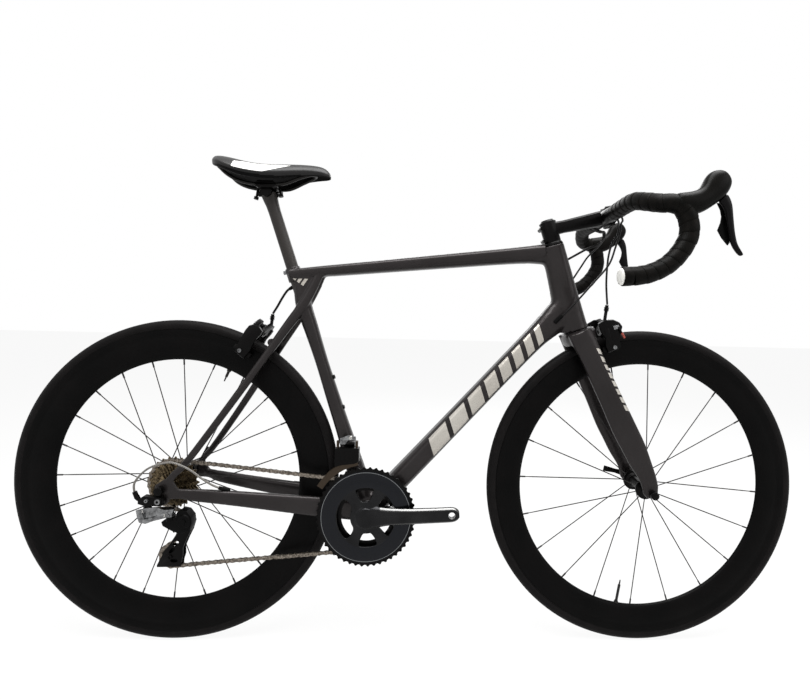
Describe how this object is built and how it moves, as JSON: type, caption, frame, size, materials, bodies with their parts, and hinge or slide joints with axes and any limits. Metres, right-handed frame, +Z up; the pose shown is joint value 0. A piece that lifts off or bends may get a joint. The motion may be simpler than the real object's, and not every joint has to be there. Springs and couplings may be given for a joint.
{
  "type": "road bicycle",
  "caption": "Road bicycle with drop handlebar, deep rims, double chainset, rim brakes and no pedals, whose wheels, steering, gears, brakes, levers and seatpost move.",
  "frame": {"origin": "on the ground, midway between the two axles, in the bicycle's middle plane", "axes": "+X forward, +Y to the rider's left, +Z up"},
  "size_m": [1.66, 0.4694, 1.0185],
  "materials": {
    "frame_paint": "satin anthracite paint",
    "carbon": "matt carbon",
    "rim": "satin black carbon rim",
    "tyre": "matt black rubber",
    "hood_rubber": "soft black rubber",
    "bar_tape": "black wrapped tape",
    "black_alloy": "black anodised aluminium",
    "grey_alloy": "polished grey aluminium",
    "crank_alloy": "dark gunmetal anodised aluminium",
    "steel": "brushed steel",
    "cassette_steel": "golden brown steel",
    "chain_steel": "oiled steel",
    "black_housing": "black cable housing",
    "grey_housing": "light grey cable housing",
    "saddle_cover": "black and white saddle cover",
    "black_plastic": "black plastic"
  },
  "bodies": {
    "frame": {"head_tube": "frame_paint", "top_tube": "frame_paint", "down_tube": "frame_paint", "seat_tube": "frame_paint", "bottom_bracket_shell": "frame_paint", "chainstay_right": "frame_paint", "chainstay_left": "frame_paint", "seatstay_right": "frame_paint", "seatstay_left": "frame_paint", "chain": "chain_steel", "rear_skewer": "steel", "front_derailleur_body": "black_alloy", "rear_derailleur_body": "black_alloy", "rear_brake_housing_rear": "black_housing", "rear_shift_housing": "grey_housing", "rear_brake_housing_front": "black_housing", "shift_housing_left": "black_housing", "shift_housing_right": "black_housing"},
    "steering": {"fork": "frame_paint", "headset_cover": "black_alloy", "stem": "black_alloy", "stem_faceplate": "black_alloy", "handlebar": "black_alloy", "bar_tape_right": "bar_tape", "bar_tape_left": "bar_tape", "brake_hood_right": "hood_rubber", "brake_hood_left": "hood_rubber", "front_skewer": "steel", "front_brake_housing": "grey_housing"},
    "front_wheel": {"front_tyre": "tyre", "front_rim": "rim", "front_hub": "black_alloy", "front_spokes_right": "black_alloy"},
    "rear_wheel": {"rear_tyre": "tyre", "rear_rim": "rim", "rear_hub": "black_alloy", "rear_spokes_right": "black_alloy"},
    "cassette_body": {"cassette": "cassette_steel"},
    "crankset": {"crank_right": "crank_alloy", "chainrings": "black_alloy", "crank_left": "crank_alloy"},
    "rear_derailleur_swing": {"rear_derailleur_link": "grey_alloy"},
    "rear_derailleur_lower": {"rear_derailleur_knuckle": "black_plastic"},
    "cage": {"rear_derailleur_cage": "black_alloy"},
    "guide_wheel": {"guide_pulley": "black_plastic"},
    "tension_wheel": {"tension_pulley": "black_plastic"},
    "front_changer": {"front_derailleur_cage": "grey_alloy"},
    "front_brake_right": {"front_brake_arm_right": "black_alloy"},
    "front_brake_left": {"front_brake_arm_left": "black_alloy"},
    "rear_brake_right": {"rear_brake_arm_right": "black_alloy"},
    "rear_brake_left": {"rear_brake_arm_left": "black_alloy"},
    "brake_lever_right_body": {"brake_lever_right": "black_alloy"},
    "brake_lever_left_body": {"brake_lever_left": "black_alloy"},
    "shift_paddle_right_body": {"shift_paddle_right": "black_plastic"},
    "shift_paddle_left_body": {"shift_paddle_left": "black_plastic"},
    "front_skewer_lever_body": {"front_skewer_lever": "black_alloy"},
    "rear_skewer_lever_body": {"rear_skewer_lever": "black_alloy"},
    "seatpost_body": {"seatpost": "carbon", "saddle_rails": "black_alloy", "saddle": "saddle_cover"}
  },
  "joints": [
    {"name": "steer", "type": "hinge", "parent": "frame", "child": "steering", "pos_m": [0.45481, 0, 0.32337], "axis": [-0.2924, 0, 0.9563], "range_deg": [-60, 60], "deforming": ["rear_brake_housing_front", "shift_housing_left", "shift_housing_right"]},
    {"name": "front_wheel_spin", "type": "hinge", "parent": "steering", "child": "front_wheel", "pos_m": [0.4945, 0, 0.3355], "axis": [0, 1, 0], "continuous": true},
    {"name": "rear_wheel_spin", "type": "hinge", "parent": "frame", "child": "rear_wheel", "pos_m": [-0.4945, 0, 0.3355], "axis": [0, 1, 0], "continuous": true},
    {"name": "crank_spin", "type": "hinge", "parent": "frame", "child": "crankset", "pos_m": [-0.0937, 0, 0.2774], "axis": [0, 1, 0], "continuous": true},
    {"name": "cassette_spin", "type": "hinge", "parent": "frame", "child": "cassette_body", "pos_m": [-0.4945, 0, 0.3355], "axis": [0, 1, 0], "continuous": true},
    {"name": "rear_derailleur_shift", "type": "hinge", "parent": "frame", "child": "rear_derailleur_swing", "pos_m": [-0.5165, -0.078, 0.2925], "axis": [0.149, 0, 0.9888], "range_deg": [-45, 5], "stiffness_Nm_per_rad": 0.5, "deforming": ["chain"]},
    {"name": "rear_derailleur_follow", "type": "hinge", "parent": "rear_derailleur_swing", "child": "rear_derailleur_lower", "pos_m": [-0.48, -0.056, 0.287], "axis": [0.149, 0, 0.9888], "range_deg": [-5, 45]},
    {"name": "cage_swing", "type": "hinge", "parent": "rear_derailleur_lower", "child": "cage", "pos_m": [-0.461, -0.05, 0.264], "axis": [0, 1, 0], "range_deg": [-30, 25], "stiffness_Nm_per_rad": 0.6, "deforming": ["chain"]},
    {"name": "guide_pulley_spin", "type": "hinge", "parent": "cage", "child": "guide_wheel", "pos_m": [-0.474, -0.02624, 0.252], "axis": [0, 1, 0], "continuous": true},
    {"name": "tension_pulley_spin", "type": "hinge", "parent": "cage", "child": "tension_wheel", "pos_m": [-0.4923, -0.02624, 0.1854], "axis": [0, 1, 0], "continuous": true},
    {"name": "front_derailleur_shift", "type": "hinge", "parent": "frame", "child": "front_changer", "pos_m": [-0.137, -0.04, 0.425], "axis": [1, 0, 0], "range_deg": [-8, 0], "stiffness_Nm_per_rad": 0.4},
    {"name": "front_brake_right_squeeze", "type": "hinge", "parent": "steering", "child": "front_brake_right", "pos_m": [0.38263, 0, 0.66206], "axis": [0.9563, 0, 0.2924], "range_deg": [0, 3], "stiffness_Nm_per_rad": 1},
    {"name": "front_brake_left_squeeze", "type": "hinge", "parent": "steering", "child": "front_brake_left", "pos_m": [0.37913, 0.022, 0.67354], "axis": [0.9563, 0, 0.2924], "range_deg": [-3, 0], "stiffness_Nm_per_rad": 1},
    {"name": "rear_brake_left_squeeze", "type": "hinge", "parent": "frame", "child": "rear_brake_left", "pos_m": [-0.312, 0, 0.6375], "axis": [-0.8331, 0, 0.5531], "range_deg": [0, 3], "stiffness_Nm_per_rad": 1},
    {"name": "rear_brake_right_squeeze", "type": "hinge", "parent": "frame", "child": "rear_brake_right", "pos_m": [-0.30536, -0.022, 0.6475], "axis": [-0.8331, 0, 0.5531], "range_deg": [-3, 0], "stiffness_Nm_per_rad": 1},
    {"name": "brake_lever_right_pull", "type": "hinge", "parent": "steering", "child": "brake_lever_right_body", "pos_m": [0.53, -0.215, 0.913], "axis": [0, 1, 0], "range_deg": [0, 25], "stiffness_Nm_per_rad": 0.5},
    {"name": "brake_lever_left_pull", "type": "hinge", "parent": "steering", "child": "brake_lever_left_body", "pos_m": [0.53, 0.215, 0.913], "axis": [0, 1, 0], "range_deg": [0, 25], "stiffness_Nm_per_rad": 0.5},
    {"name": "shift_paddle_right_push", "type": "hinge", "parent": "brake_lever_right_body", "child": "shift_paddle_right_body", "pos_m": [0.527, -0.2085, 0.899], "axis": [1, 0, 0], "range_deg": [0, 15], "stiffness_Nm_per_rad": 0.2},
    {"name": "shift_paddle_left_push", "type": "hinge", "parent": "brake_lever_left_body", "child": "shift_paddle_left_body", "pos_m": [0.527, 0.2085, 0.899], "axis": [1, 0, 0], "range_deg": [-15, 0], "stiffness_Nm_per_rad": 0.2},
    {"name": "front_skewer_lever_open", "type": "hinge", "parent": "steering", "child": "front_skewer_lever_body", "pos_m": [0.4945, 0.0776, 0.3355], "axis": [-0.225, 0, -0.9744], "range_deg": [0, 165]},
    {"name": "rear_skewer_lever_open", "type": "hinge", "parent": "frame", "child": "rear_skewer_lever_body", "pos_m": [-0.4945, 0.0854, 0.3355], "axis": [-0.8829, 0, 0.4695], "range_deg": [0, 165]},
    {"name": "seatpost_slide", "type": "slide", "parent": "frame", "child": "seatpost_body", "axis": [-0.3223, 0, 0.9466], "range_m": [-0.03, 0.02]}
  ],
  "couplings": [
    {"joint": "cassette_spin", "follows": "crank_spin", "ratio": 1.4783},
    {"joint": "guide_pulley_spin", "follows": "crank_spin", "ratio": -3.0909},
    {"joint": "tension_pulley_spin", "follows": "crank_spin", "ratio": 3.0909},
    {"joint": "rear_derailleur_follow", "follows": "rear_derailleur_shift", "ratio": -1},
    {"joint": "front_brake_left_squeeze", "follows": "front_brake_right_squeeze", "ratio": -0.755},
    {"joint": "rear_brake_right_squeeze", "follows": "rear_brake_left_squeeze", "ratio": -0.8}
  ]
}
